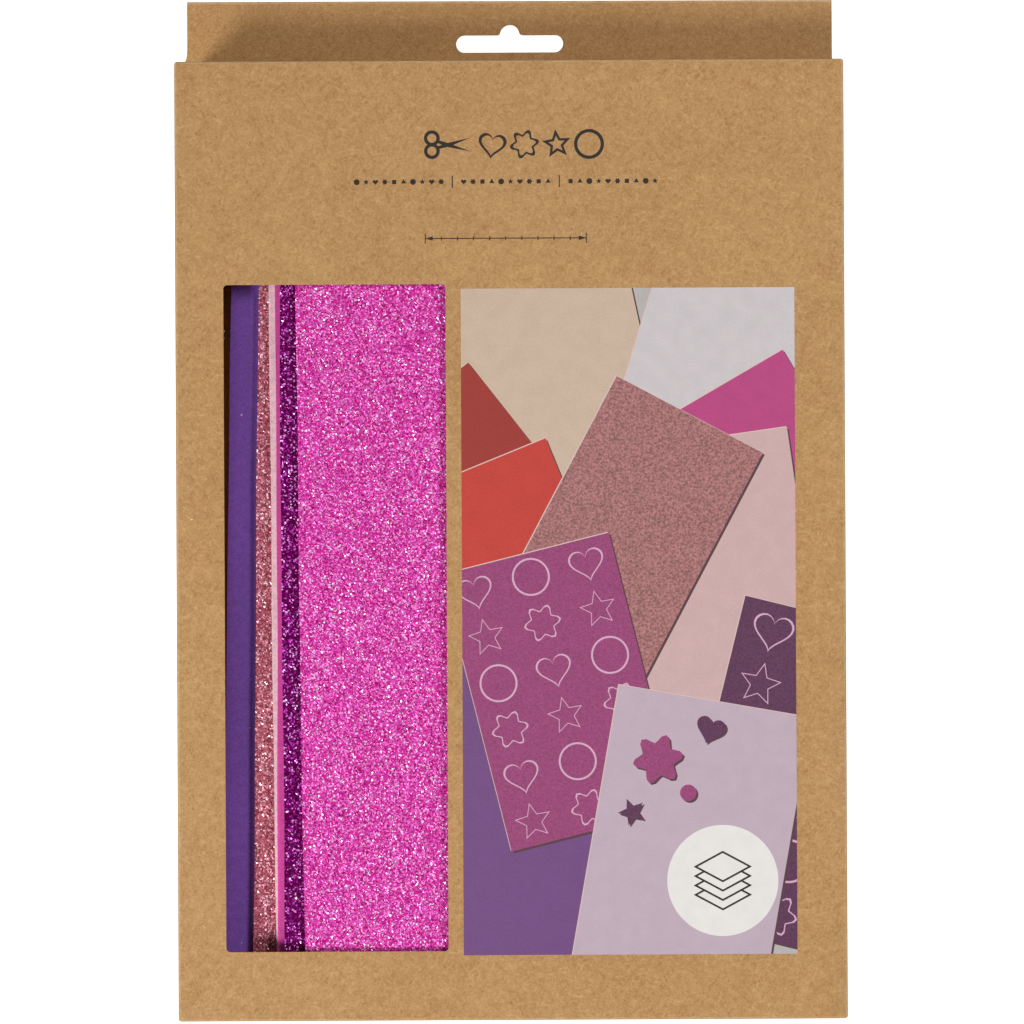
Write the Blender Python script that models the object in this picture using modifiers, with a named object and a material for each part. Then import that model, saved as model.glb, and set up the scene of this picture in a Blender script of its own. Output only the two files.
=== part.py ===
"""A pack of craft foam sheets: twelve foam sheets, fanned out, in a kraft window carton with a header.

The pack lies on its back. X runs across the carton, Y up its front towards the header, and Z out of its
front. The origin is the middle of the whole pack's outline, on the surface that it lies on. All sizes are
in metres.
"""

import math

import bmesh
import bpy
from mathutils import Vector

# Foam sheets
SHEET_WIDTH = 0.140
SHEET_LENGTH = 0.250
SHEET_THICKNESS = 0.002
SHEET_EDGE_ROUNDING = 0.00012
SHEET_GAP = 0.0001

# Carton
BOARD = 0.0005
SEAT_GAP = 0.00025
HEAD_ROOM = 0.0018
CARTON_WIDTH = 0.1785
CARTON_LENGTH = 0.256
FOLD_RADIUS = 0.0008
FOLD_STEPS = 5
FLAP_OVERLAP = 0.004
TUCK_LENGTH = 0.014
DUST_FLAP_LENGTH = 0.046
GLUE_FLAP_WIDTH = 0.013
GLUE_SEAM = 0.00015
GLUE_SEAM_DEPTH = 0.00035

# Header with the hanging slot
HEADER_LENGTH = 0.0207
HEADER_SIDE_INSET = 0.00025
SLOT_LENGTH = 0.0298
SLOT_HEIGHT = 0.0049
SLOT_ABOVE_CARTON = 0.0062
SLOT_HUMP_RADIUS = 0.00285
ARC_STEPS = 12

# Window, measured from the carton's left and lower edges
WINDOW_LEFT = 0.0129
WINDOW_WIDTH = 0.0592
WINDOW_BOTTOM = 0.0188
WINDOW_LENGTH = 0.1775
WINDOW_CORNER_RADIUS = 0.0010

# Each sheet from the back of the stack to its front: name, colour, roughness,
# shift of its centre to the right of the carton's middle, and turn anticlockwise in degrees.
SHEETS = [
    ("foam_sheet_white", (0.86, 0.84, 0.82), 0.80, -0.0052, 0.10),
    ("foam_sheet_cream", (0.86, 0.68, 0.46), 0.80, -0.0046, -0.25),
    ("foam_sheet_dark_red", (0.42, 0.04, 0.03), 0.80, -0.0055, -0.40),
    ("foam_sheet_red", (0.62, 0.05, 0.03), 0.80, -0.0040, 0.15),
    ("foam_sheet_lilac", (0.62, 0.45, 0.62), 0.80, -0.0048, -0.35),
    ("glitter_sheet_coral", (0.60, 0.22, 0.19), 0.45, -0.0038, -0.55),
    ("foam_sheet_purple", (0.115, 0.040, 0.215), 0.80, -0.0068, -0.95),
    ("glitter_sheet_rose", (0.42, 0.14, 0.16), 0.45, 0.0013, -0.75),
    ("foam_sheet_pale_pink", (0.78, 0.47, 0.50), 0.80, 0.0054, 0.44),
    ("foam_sheet_pink", (0.52, 0.06, 0.26), 0.80, 0.0070, -0.04),
    ("glitter_sheet_violet", (0.16, 0.005, 0.15), 0.40, 0.0085, 0.18),
    ("glitter_sheet_hot_pink", (0.70, 0.06, 0.38), 0.40, 0.0133, 0.55),
]

# Sizes that follow from those above
STACK_BOTTOM = 2 * BOARD + 2 * SEAT_GAP
SHEET_PITCH = SHEET_THICKNESS + SHEET_GAP
CARTON_DEPTH = STACK_BOTTOM + len(SHEETS) * SHEET_PITCH + HEAD_ROOM + BOARD
PACK_LENGTH = CARTON_LENGTH + HEADER_LENGTH
CARTON_BOTTOM = -PACK_LENGTH / 2
CARTON_TOP = CARTON_BOTTOM + CARTON_LENGTH
CARTON_MIDDLE = (CARTON_BOTTOM + CARTON_TOP) / 2
HALF_WIDTH = CARTON_WIDTH / 2
SIDE_END = BOARD + SEAT_GAP
HEADER_TOP = CARTON_TOP + HEADER_LENGTH
CUT_MARGIN = 0.002


def clear_scene() -> None:
    """Remove every object that the file opened with."""
    for old in list(bpy.data.objects):
        bpy.data.objects.remove(old, do_unlink=True)


def new_collection(name: str) -> bpy.types.Collection:
    """A collection of this name, in the scene."""
    made = bpy.data.collections.new(name)
    bpy.context.scene.collection.children.link(made)
    return made


def new_material(name: str, colour: tuple, roughness: float) -> bpy.types.Material:
    """A plain material of one colour."""
    made = bpy.data.materials.new(name)
    made.use_nodes = True
    shader = made.node_tree.nodes["Principled BSDF"]
    shader.inputs["Base Color"].default_value = (*colour, 1.0)
    shader.inputs["Roughness"].default_value = roughness
    shader.inputs["Metallic"].default_value = 0.0
    return made


def add_object(name: str, mesh: bpy.types.Mesh, collection: bpy.types.Collection) -> bpy.types.Object:
    """An object that shows this mesh, in this collection."""
    made = bpy.data.objects.new(name, mesh)
    collection.objects.link(made)
    return made


def add_box(name: str, low: Vector, high: Vector, collection: bpy.types.Collection) -> bpy.types.Object:
    """A box between two corners, with its origin at its middle."""
    size = high - low
    shape = bmesh.new()
    bmesh.ops.create_cube(shape, size=1.0)
    bmesh.ops.scale(shape, vec=size, verts=shape.verts)
    mesh = bpy.data.meshes.new(name)
    shape.to_mesh(mesh)
    shape.free()
    made = add_object(name, mesh, collection)
    made.location = (low + high) / 2
    return made


def rounded_path(corners: list, radius: float, steps: int, closed: bool) -> list:
    """The points of a path along square corners, each turned into an arc of this radius.

    The ends of an open path stay where they are.
    """
    count = len(corners)
    points = []
    for index, corner in enumerate(corners):
        if not closed and index in (0, count - 1):
            points.append(corner)
            continue
        arriving = (corner - corners[index - 1]).normalized()
        leaving = (corners[(index + 1) % count] - corner).normalized()
        centre = corner - radius * arriving + radius * leaving
        for step in range(steps + 1):
            angle = math.pi / 2 * step / steps
            points.append(centre - radius * math.cos(angle) * leaving + radius * math.sin(angle) * arriving)
    return points


def add_folded_board(
    name: str, points: list, closed: bool, travel: Vector, collection: bpy.types.Collection
) -> bpy.types.Object:
    """Board bent along a path and carried straight along travel. The path is its outer face."""
    shape = bmesh.new()
    line = [shape.verts.new(point) for point in points]
    pairs = list(zip(line, line[1:]))
    if closed:
        pairs.append((line[-1], line[0]))
    edges = [shape.edges.new(pair) for pair in pairs]
    carried = bmesh.ops.extrude_edge_only(shape, edges=edges)["geom"]
    moved = [item for item in carried if isinstance(item, bmesh.types.BMVert)]
    bmesh.ops.translate(shape, vec=travel, verts=moved)
    bmesh.ops.recalc_face_normals(shape, faces=shape.faces)
    mesh = bpy.data.meshes.new(name)
    shape.to_mesh(mesh)
    shape.free()
    made = add_object(name, mesh, collection)
    wall = made.modifiers.new("Board", "SOLIDIFY")
    wall.thickness = BOARD
    wall.offset = -1.0
    return made


def add_outline_solid(
    name: str, outline: list, low: float, high: float, collection: bpy.types.Collection
) -> bpy.types.Object:
    """A closed outline in X and Y, given thickness from low to high in Z, as a mesh."""
    curve = bpy.data.curves.new(name, "CURVE")
    curve.dimensions = "2D"
    curve.fill_mode = "BOTH"
    curve.extrude = (high - low) / 2
    spline = curve.splines.new("POLY")
    spline.points.add(len(outline) - 1)
    for point, place in zip(spline.points, outline):
        point.co = (place.x, place.y, 0.0, 1.0)
    spline.use_cyclic_u = True
    drawn = add_object(name + "_outline", curve, collection)
    drawn.location.z = (low + high) / 2
    bpy.context.view_layer.update()
    seen = drawn.evaluated_get(bpy.context.evaluated_depsgraph_get())
    mesh = bpy.data.meshes.new_from_object(seen)
    shape = bmesh.new()
    shape.from_mesh(mesh)
    bmesh.ops.remove_doubles(shape, verts=shape.verts, dist=0.000001)
    shape.to_mesh(mesh)
    shape.free()
    made = add_object(name, mesh, collection)
    made.matrix_world = drawn.matrix_world
    bpy.data.objects.remove(drawn, do_unlink=True)
    return made


def combine(body: bpy.types.Object, tool: bpy.types.Object, operation: str) -> None:
    """Join the tool to the body, or cut it from the body, and keep the tool as a hidden helper."""
    change = body.modifiers.new(operation.title() + " " + tool.name, "BOOLEAN")
    change.operation = operation
    change.solver = "EXACT"
    change.object = tool
    tool.hide_render = True
    tool.display_type = "WIRE"


def make_sleeve(pieces: bpy.types.Collection) -> bpy.types.Object:
    """Front, back and both sides: a tube of board with rounded folds."""
    corners = [
        Vector((-HALF_WIDTH, CARTON_BOTTOM + SIDE_END, 0.0)),
        Vector((HALF_WIDTH, CARTON_BOTTOM + SIDE_END, 0.0)),
        Vector((HALF_WIDTH, CARTON_BOTTOM + SIDE_END, CARTON_DEPTH)),
        Vector((-HALF_WIDTH, CARTON_BOTTOM + SIDE_END, CARTON_DEPTH)),
    ]
    points = rounded_path(corners, FOLD_RADIUS, FOLD_STEPS, closed=True)
    length = Vector((0.0, CARTON_LENGTH - 2 * SIDE_END, 0.0))
    return add_folded_board("carton", points, True, length, pieces)


def make_closure(name: str, end: float, inwards: float, helpers: bpy.types.Collection) -> bpy.types.Object:
    """An end panel hinged on the front panel, with its tuck flap in front of the back panel.

    end is the outside of the end panel, and inwards is the direction in Y that leads into the carton.
    """
    left = -HALF_WIDTH + FOLD_RADIUS
    tuck_face = BOARD + SEAT_GAP
    corners = [
        Vector((left, end + inwards * FLAP_OVERLAP, CARTON_DEPTH)),
        Vector((left, end, CARTON_DEPTH)),
        Vector((left, end, tuck_face)),
        Vector((left, end + inwards * TUCK_LENGTH, tuck_face)),
    ]
    points = rounded_path(corners, FOLD_RADIUS, FOLD_STEPS, closed=False)
    if inwards < 0:
        points.reverse()
    return add_folded_board(name, points, False, Vector((-2 * left, 0.0, 0.0)), helpers)


def make_dust_flap(
    name: str, side: float, end: float, inwards: float, helpers: bpy.types.Collection
) -> bpy.types.Object:
    """A flap from a side panel, folded in under the end panel. side is -1 on the left, 1 on the right."""
    wall = side * (HALF_WIDTH - BOARD / 2)
    tip = side * (HALF_WIDTH - DUST_FLAP_LENGTH)
    outer = end + inwards * SIDE_END
    inner = outer + inwards * BOARD
    low = Vector((min(wall, tip), min(outer, inner), STACK_BOTTOM))
    high = Vector((max(wall, tip), max(outer, inner), CARTON_DEPTH - SIDE_END))
    return add_box(name, low, high, helpers)


def make_header(helpers: bpy.types.Collection) -> list:
    """The back panel carried up past the carton, and folded forward onto itself to make a double header."""
    half = HALF_WIDTH - HEADER_SIDE_INSET
    half_neck = half - FOLD_RADIUS
    neck = add_box(
        "header_neck",
        Vector((-half_neck, CARTON_TOP - FLAP_OVERLAP, 0.0)),
        Vector((half_neck, CARTON_TOP + FLAP_OVERLAP, BOARD)),
        helpers,
    )
    panel = add_box(
        "header_panel",
        Vector((-half, CARTON_TOP + SEAT_GAP, 0.0)),
        Vector((half, HEADER_TOP, 2 * BOARD)),
        helpers,
    )
    return [neck, panel]


def half_round(x: float, y: float, radius: float, start: float) -> list:
    """Half a circle about a point, anticlockwise from this angle."""
    angles = [start + math.pi * step / ARC_STEPS for step in range(ARC_STEPS + 1)]
    return [Vector((x + radius * math.cos(angle), y + radius * math.sin(angle))) for angle in angles]


def slot_outline() -> list:
    """The hanging slot: a bar with round ends and a half-round hump in the middle of its upper edge."""
    end_radius = SLOT_HEIGHT / 2
    end_centre = SLOT_LENGTH / 2 - end_radius
    middle = CARTON_TOP + SLOT_ABOVE_CARTON + end_radius
    right_end = half_round(end_centre, middle, end_radius, -math.pi / 2)
    hump = half_round(0.0, middle + end_radius, SLOT_HUMP_RADIUS, 0.0)
    left_end = half_round(-end_centre, middle, end_radius, math.pi / 2)
    return right_end + hump + left_end


def window_outline() -> list:
    """The window in the front panel: a rectangle with small round corners."""
    left = -HALF_WIDTH + WINDOW_LEFT
    bottom = CARTON_BOTTOM + WINDOW_BOTTOM
    corners = [
        Vector((left, bottom, 0.0)),
        Vector((left + WINDOW_WIDTH, bottom, 0.0)),
        Vector((left + WINDOW_WIDTH, bottom + WINDOW_LENGTH, 0.0)),
        Vector((left, bottom + WINDOW_LENGTH, 0.0)),
    ]
    return rounded_path(corners, WINDOW_CORNER_RADIUS, FOLD_STEPS, closed=True)


def make_carton(pieces: bpy.types.Collection, helpers: bpy.types.Collection) -> None:
    """The carton: one blank of kraft board, folded and glued, with its window and hanging slot cut out."""
    carton = make_sleeve(pieces)
    ends = [("top", CARTON_TOP, -1.0), ("bottom", CARTON_BOTTOM, 1.0)]
    for place, end, inwards in ends:
        combine(carton, make_closure(place + "_closure", end, inwards, helpers), "UNION")
        for hand, side in (("left", -1.0), ("right", 1.0)):
            name = place + "_" + hand + "_dust_flap"
            combine(carton, make_dust_flap(name, side, end, inwards, helpers), "UNION")
    for header_part in make_header(helpers):
        combine(carton, header_part, "UNION")

    glue_flap = add_box(
        "glue_flap",
        Vector((-HALF_WIDTH + BOARD / 2, CARTON_BOTTOM + TUCK_LENGTH + SEAT_GAP, BOARD / 2)),
        Vector((-HALF_WIDTH + 2 * BOARD, CARTON_TOP - TUCK_LENGTH - SEAT_GAP, GLUE_FLAP_WIDTH)),
        helpers,
    )
    combine(carton, glue_flap, "UNION")
    glue_seam = add_box(
        "glue_seam",
        Vector((-HALF_WIDTH - CUT_MARGIN, CARTON_BOTTOM - CUT_MARGIN, FOLD_RADIUS)),
        Vector((-HALF_WIDTH + GLUE_SEAM_DEPTH, CARTON_TOP + CUT_MARGIN, FOLD_RADIUS + GLUE_SEAM)),
        helpers,
    )
    combine(carton, glue_seam, "DIFFERENCE")

    window_back = CARTON_DEPTH - BOARD - SEAT_GAP / 2
    window = add_outline_solid(
        "window_cut", window_outline(), window_back, CARTON_DEPTH + CUT_MARGIN, helpers
    )
    combine(carton, window, "DIFFERENCE")
    slot = add_outline_solid("slot_cut", slot_outline(), -CUT_MARGIN, 2 * BOARD + CUT_MARGIN, helpers)
    combine(carton, slot, "DIFFERENCE")
    carton.data.materials.append(new_material("kraft_board", (0.46, 0.27, 0.11), 0.85))


def make_sheet(order: int, pieces: bpy.types.Collection) -> None:
    """One foam sheet at its place in the stack, counted from the back."""
    name, colour, roughness, shift, turn = SHEETS[order]
    bottom = STACK_BOTTOM + order * SHEET_PITCH
    half = Vector((SHEET_WIDTH / 2, SHEET_LENGTH / 2, SHEET_THICKNESS / 2))
    centre = Vector((shift, CARTON_MIDDLE, bottom + SHEET_THICKNESS / 2))
    sheet = add_box(name, centre - half, centre + half, pieces)
    sheet.rotation_euler.z = math.radians(turn)
    edge = sheet.modifiers.new("Soft edge", "BEVEL")
    edge.width = SHEET_EDGE_ROUNDING
    edge.segments = 2
    sheet.data.materials.append(new_material(name, colour, roughness))


def main() -> None:
    """Build the whole pack."""
    clear_scene()
    pieces = new_collection("foam_sheet_pack")
    helpers = new_collection("cutters")
    make_carton(pieces, helpers)
    for order in range(len(SHEETS)):
        make_sheet(order, pieces)


main()
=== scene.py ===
"""The looks of a pack of craft foam sheets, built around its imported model.

A fan of twelve foam sheets, four of them coated with glitter, lies in a kraft window carton with a header.
The pack lies on its back: X runs across it, Y up its front towards the header, and Z out of its front.
All sizes are in metres.
"""

import logging
import math
from collections.abc import Sequence
from dataclasses import dataclass, field
from enum import Enum
from functools import partial, reduce

import bmesh
import bpy
import numpy as np
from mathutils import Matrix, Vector
from mathutils.geometry import delaunay_2d_cdt


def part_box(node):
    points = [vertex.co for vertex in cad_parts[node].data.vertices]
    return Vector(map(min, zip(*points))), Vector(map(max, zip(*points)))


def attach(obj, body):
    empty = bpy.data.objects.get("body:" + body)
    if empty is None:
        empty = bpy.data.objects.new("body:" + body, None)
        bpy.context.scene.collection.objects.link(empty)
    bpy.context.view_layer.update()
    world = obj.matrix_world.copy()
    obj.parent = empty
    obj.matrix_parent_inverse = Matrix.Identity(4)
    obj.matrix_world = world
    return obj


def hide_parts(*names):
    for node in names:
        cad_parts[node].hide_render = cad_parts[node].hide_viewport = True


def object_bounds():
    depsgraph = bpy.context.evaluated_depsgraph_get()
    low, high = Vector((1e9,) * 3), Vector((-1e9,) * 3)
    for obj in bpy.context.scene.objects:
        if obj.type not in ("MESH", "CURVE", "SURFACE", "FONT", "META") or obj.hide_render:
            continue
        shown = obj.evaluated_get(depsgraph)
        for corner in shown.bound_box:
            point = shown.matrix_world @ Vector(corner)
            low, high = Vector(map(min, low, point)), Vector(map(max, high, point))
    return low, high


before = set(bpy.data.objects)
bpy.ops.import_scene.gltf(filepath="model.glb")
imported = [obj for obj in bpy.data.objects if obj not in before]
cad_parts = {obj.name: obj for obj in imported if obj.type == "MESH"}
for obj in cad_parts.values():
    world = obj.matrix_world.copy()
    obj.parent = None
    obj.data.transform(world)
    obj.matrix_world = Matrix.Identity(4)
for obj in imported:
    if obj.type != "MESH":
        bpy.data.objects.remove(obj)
CAD_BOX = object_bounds()

Array = np.ndarray
Colour = tuple[float, float, float]
Point = tuple[float, float]
Socket = bpy.types.NodeSocket
Mesh = bpy.types.Mesh
Material = bpy.types.Material
Piece = bpy.types.Object

LOG = logging.getLogger("foam_sheet_pack")
BODY = "root"
CARTON_NODE = "carton"
KRAFT_SLOT = "kraft_board"
WEAR_AND_SHADE = "wear_and_shade"
SAME_PLACE = 0.000001
SHARP_FOLD = 40.0
SHARP_EDGE = 50.0


def stacked(*columns: Array | float) -> Array:
    """Points or faces from these columns, of which some may be one number for all."""
    return np.stack(np.broadcast_arrays(*columns), axis=-1)


def linear(red: float, green: float, blue: float) -> Colour:
    """A colour given as screen values from 0 to 255, as linear light.

    Args:
        red: The screen value of red.
        green: The screen value of green.
        blue: The screen value of blue.

    Returns:
        The colour's three linear values, from 0 to 1.
    """
    screen = np.array([red, green, blue]) / 255
    light = np.where(screen <= 0.04045, screen / 12.92, ((screen + 0.055) / 1.055) ** 2.4)
    return tuple(float(value) for value in light)


class NodeGraph:
    """A material's node tree, with short calls for the nodes that the finishes share."""

    def __init__(self, name: str) -> None:
        """Start a material of this name with its Principled shader and its Object coordinates."""
        self.material = bpy.data.materials.new(name)
        self.material.use_nodes = True
        self.tree = self.material.node_tree
        self.shader = self.tree.nodes["Principled BSDF"]
        self.place = self.tree.nodes.new("ShaderNodeTexCoord").outputs["Object"]

    def set(self, **values: float) -> None:
        """Give the shader's own sockets constant values, named with _ for each space."""
        for name, value in values.items():
            self.shader.inputs[name.replace("_", " ")].default_value = value

    def attribute(self, name: str) -> Socket:
        """The number that the mesh keeps at each point under this name."""
        node = self.tree.nodes.new("ShaderNodeAttribute")
        node.attribute_name = name
        return node.outputs["Fac"]

    def stretched(self, turn: float, along: float) -> Socket:
        """Coordinates turned about Z by degrees, on which a pattern is drawn out 1 / along times."""
        node = self.tree.nodes.new("ShaderNodeMapping")
        node.vector_type = "TEXTURE"
        node.inputs["Rotation"].default_value = (0.0, 0.0, math.radians(turn))
        node.inputs["Scale"].default_value = (1.0 / along, 1.0, 1.0)
        self.tree.links.new(self.place, node.inputs["Vector"])
        return node.outputs["Vector"]

    def noise(self, grain: float, detail: float = 2.0, place: Socket | None = None) -> Socket:
        """Cloudy noise.

        Args:
            grain: The size of one cloud, in metres.
            detail: How many finer octaves it has.
            place: The coordinates, or None for the Object ones.

        Returns:
            Its value, about 0.5 in the mean.
        """
        node = self.tree.nodes.new("ShaderNodeTexNoise")
        node.inputs["Scale"].default_value = 1.0 / grain
        node.inputs["Detail"].default_value = detail
        self.tree.links.new(place or self.place, node.inputs["Vector"])
        return node.outputs["Fac"]

    def between(self, source: Socket, low: float, high: float, at_low: float, at_high: float) -> Socket:
        """A value carried from one range to another, and held at its ends."""
        node = self.tree.nodes.new("ShaderNodeMapRange")
        for name, value in (("From Min", low), ("From Max", high), ("To Min", at_low), ("To Max", at_high)):
            node.inputs[name].default_value = value
        self.tree.links.new(source, node.inputs["Value"])
        return node.outputs["Result"]

    def varied(self, source: Socket, spread: float, middle: float = 1.0) -> Socket:
        """A noise whose usual range, 0.3 to 0.7, fills the spread on both sides of a middle."""
        return self.between(source, 0.3, 0.7, middle - spread, middle + spread)

    def combined(self, operation: str, first: Socket, second: Socket) -> Socket:
        """Two values put together by this operation."""
        node = self.tree.nodes.new("ShaderNodeMath")
        node.operation = operation
        self.tree.links.new(first, node.inputs[0])
        self.tree.links.new(second, node.inputs[1])
        return node.outputs["Value"]

    def product(self, factors: Sequence[Socket]) -> Socket:
        """The product of these values."""
        return reduce(partial(self.combined, "MULTIPLY"), factors)

    def total(self, values: Sequence[Socket]) -> Socket:
        """The sum of these values."""
        return reduce(partial(self.combined, "ADD"), values)

    def shaded(self, colour: Colour, factor: Socket) -> Socket:
        """A colour made lighter or darker by a factor."""
        node = self.tree.nodes.new("ShaderNodeVectorMath")
        node.operation = "SCALE"
        node.inputs[0].default_value = colour
        self.tree.links.new(factor, node.inputs["Scale"])
        return node.outputs["Vector"]

    def feed(self, socket: Socket, colour: Colour | Socket) -> None:
        """Put a colour, constant or from another node, into a socket."""
        if isinstance(colour, tuple):
            socket.default_value = (*colour, 1.0)
        else:
            self.tree.links.new(colour, socket)

    def mixed(self, share: Socket, first: Colour | Socket, second: Colour | Socket) -> Socket:
        """Two colours mixed by the second one's share."""
        node = self.tree.nodes.new("ShaderNodeMix")
        node.data_type = "RGBA"
        self.tree.links.new(share, node.inputs["Factor"])
        self.feed(node.inputs[6], first)
        self.feed(node.inputs[7], second)
        return node.outputs[2]

    def colour(self, source: Colour | Socket) -> None:
        """Paint the shader with this colour."""
        self.feed(self.shader.inputs["Base Color"], source)

    def bump(self, height: Socket, depth: float) -> None:
        """Raise the surface by a height from 0 to 1 times this depth."""
        node = self.tree.nodes.new("ShaderNodeBump")
        node.inputs["Distance"].default_value = depth
        self.tree.links.new(height, node.inputs["Height"])
        self.tree.links.new(node.outputs["Normal"], self.shader.inputs["Normal"])


@dataclass(frozen=True)
class KraftFinish:
    """Uncoated brown board: short fibres at all angles, soft blotches, pale worn folds, and painted shade on
    their outer rims.

    A wear above 0 on the mesh turns the board paler, and one below 0 darker as painted shade. A field of four
    numbers carries a noise from its first two to its last two.
    """

    dark: Colour = linear(168, 121, 68)
    light: Colour = linear(212, 168, 113)
    worn: Colour = linear(226, 190, 144)
    # The colour of the painted shade on the folds' outermost rims, which turn away from the light.
    rim_shade: Colour = linear(104, 72, 42)
    fibre: float = 0.00055
    fibre_turns: tuple[float, ...] = (8.0, 47.0, 79.0, 118.0, 154.0)
    fibre_stretch: float = 0.2
    fibre_depth: float = 0.00003
    fibre_shade: tuple[float, ...] = (0.25, 0.75, -0.12, 0.12)
    bright_fibre: tuple[float, ...] = (0.64, 0.76, 0.0, 0.22)
    dark_fibre: tuple[float, ...] = (0.24, 0.36, -0.22, 0.0)
    speck: float = 0.0003
    speck_shade: tuple[float, ...] = (0.25, 0.75, -0.24, 0.24)
    blotch: float = 0.0040
    blotch_shade: float = 0.05
    cloud: float = 0.0180
    cloud_shade: float = 0.06
    rubbing: float = 0.0022
    rubbed: tuple[float, ...] = (0.35, 0.6, 0.35, 1.0)
    roughness: float = 0.8

    def build(self) -> Material:
        """The material. Its shade is a sum of strands, soft blotches and specks about one half."""
        graph = NodeGraph("Kraft board")
        strands = [
            graph.noise(self.fibre, 2.0, graph.stretched(turn, self.fibre_stretch))
            for turn in self.fibre_turns
        ]
        parts = [graph.between(strand, *self.fibre_shade) for strand in strands]
        parts += [graph.between(strand, *self.bright_fibre) for strand in strands[::2]]
        parts += [graph.between(strand, *self.dark_fibre) for strand in strands[1::2]]
        parts.append(graph.between(graph.noise(self.speck, 1.0), *self.speck_shade))
        parts.append(graph.varied(graph.noise(self.blotch), self.blotch_shade, 0.0))
        parts.append(graph.varied(graph.noise(self.cloud), self.cloud_shade, 0.5))
        paper = graph.mixed(graph.total(parts), self.dark, self.light)
        rubbed = graph.between(graph.noise(self.rubbing, 3.0), *self.rubbed)
        wear_and_shade = graph.product([graph.attribute(WEAR_AND_SHADE), rubbed])
        # A value below 0 is painted shade: it darkens the board towards the rim shade colour.
        paper = graph.mixed(graph.between(wear_and_shade, -1.0, 0.0, 1.0, 0.0), paper, self.rim_shade)
        graph.colour(graph.mixed(wear_and_shade, paper, self.worn))
        graph.set(Roughness=self.roughness)
        graph.bump(graph.product(strands), self.fibre_depth)
        return graph.material


@dataclass(frozen=True)
class FoamFinish:
    """Matt closed-cell foam: one colour with fine pores and a faint cloudiness."""

    name: str
    base: Colour
    pore: float = 0.0005
    pore_shade: float = 0.14
    pore_depth: float = 0.00006
    cell: float = 0.002
    cell_shade: float = 0.08
    cloud: float = 0.03
    cloud_shade: float = 0.06
    roughness: float = 0.85

    def build(self) -> Material:
        """The material."""
        graph = NodeGraph(self.name)
        pores = graph.noise(self.pore)
        shades = [
            graph.varied(pores, self.pore_shade),
            graph.varied(graph.noise(self.cell), self.cell_shade),
            graph.varied(graph.noise(self.cloud, 1.0), self.cloud_shade),
        ]
        graph.colour(graph.shaded(self.base, graph.product(shades)))
        graph.set(Roughness=self.roughness)
        graph.bump(pores, self.pore_depth)
        return graph.material


@dataclass(frozen=True)
class FlakeTone:
    """One of a glitter coat's tones: every flake of this tone is one plain colour, more or less metallic."""

    colour: Colour
    share: float
    metallic: float
    roughness: float
    specular: float = 0.15

    def build(self, name: str) -> Material:
        """The material of this name."""
        graph = NodeGraph(name)
        graph.colour(self.colour)
        graph.set(Metallic=self.metallic, Roughness=self.roughness, Specular_IOR_Level=self.specular)
        return graph.material


@dataclass(frozen=True)
class InkFinish:
    """Printing ink on kraft board: one colour, mottled where the paper shows through."""

    name: str
    base: Colour
    contrast: float
    grain: float
    cloud: float = 0.004
    cloud_shade: float = 0.03
    roughness: float = 0.6

    def build(self) -> Material:
        """The material."""
        graph = NodeGraph(self.name)
        speckle = graph.varied(graph.noise(self.grain, 1.0), self.contrast)
        clouds = graph.varied(graph.noise(self.cloud), self.cloud_shade)
        graph.colour(graph.shaded(self.base, graph.product([speckle, clouds])))
        graph.set(Roughness=self.roughness)
        return graph.material


@dataclass
class Surface:
    """Points and faces of a stretch of surface, with a wear at each point: 1 is rubbed pale, -1 darkened as
    painted shade.
    """

    points: Array
    faces: list[Array]
    wear_and_shade: Array | None = None

    def __post_init__(self) -> None:
        """Leave the surface without wear or painted shade if none is given."""
        if self.wear_and_shade is None:
            self.wear_and_shade = np.zeros(len(self.points))

    @classmethod
    def joined(cls, parts: Sequence["Surface"]) -> "Surface":
        """Several surfaces as one, each keeping its own points."""
        starts = np.cumsum([0] + [len(part.points) for part in parts])
        faces = [face + start for part, start in zip(parts, starts) for face in part.faces]
        points = np.concatenate([part.points for part in parts])
        return cls(points, faces, np.concatenate([part.wear_and_shade for part in parts]))

    def mesh(self, name: str) -> Mesh:
        """The surface as a mesh. Each array in faces has its own number of corners to a face."""
        mesh = bpy.data.meshes.new(name)
        mesh.vertices.add(len(self.points))
        mesh.vertices.foreach_set("co", self.points.astype(np.float32).ravel())
        corners = np.concatenate([face.ravel() for face in self.faces]).astype(np.int32)
        sizes = np.concatenate([np.full(len(face), face.shape[1]) for face in self.faces])
        mesh.loops.add(len(corners))
        mesh.loops.foreach_set("vertex_index", corners)
        mesh.polygons.add(len(sizes))
        mesh.polygons.foreach_set("loop_start", (np.cumsum(sizes) - sizes).astype(np.int32))
        wear_and_shade = mesh.attributes.new(WEAR_AND_SHADE, "FLOAT", "POINT")
        wear_and_shade.data.foreach_set("value", self.wear_and_shade.astype(np.float32))
        mesh.update(calc_edges=True)
        mesh.shade_flat()
        return mesh


def grid_lines(stops: Sequence[float], step: float, beside: Sequence[float] = ()) -> Array:
    """Places of grid lines from the first stop to the last.

    There is a line at each stop and at each of the distances beside it, and between those the lines are
    evenly spread, no further apart than step.

    Args:
        stops: Places that a line goes through, in rising order.
        step: The widest space between two lines.
        beside: Distances from a stop where more lines run.

    Returns:
        The places, in rising order.
    """
    marks = [stop + side * away for stop in stops for away in (0.0, *beside) for side in (-1.0, 1.0)]
    marks = np.unique(np.round([mark for mark in marks if stops[0] <= mark <= stops[-1]], 7))
    runs = [
        np.linspace(low, high, max(1, math.ceil((high - low) / step - 0.001)) + 1)[:-1]
        for low, high in zip(marks, marks[1:])
    ]
    return np.append(np.concatenate(runs), marks[-1])


def grid_quads(rows: int, columns: int, flip: bool = False) -> Array:
    """The faces of a grid of points. Their normal is columns crossed with rows, unless flipped."""
    index = np.arange(rows * columns).reshape(rows, columns)
    quads = stacked(index[:-1, :-1], index[:-1, 1:], index[1:, 1:], index[1:, :-1]).reshape(-1, 4)
    return quads[:, ::-1] if flip else quads


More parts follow.
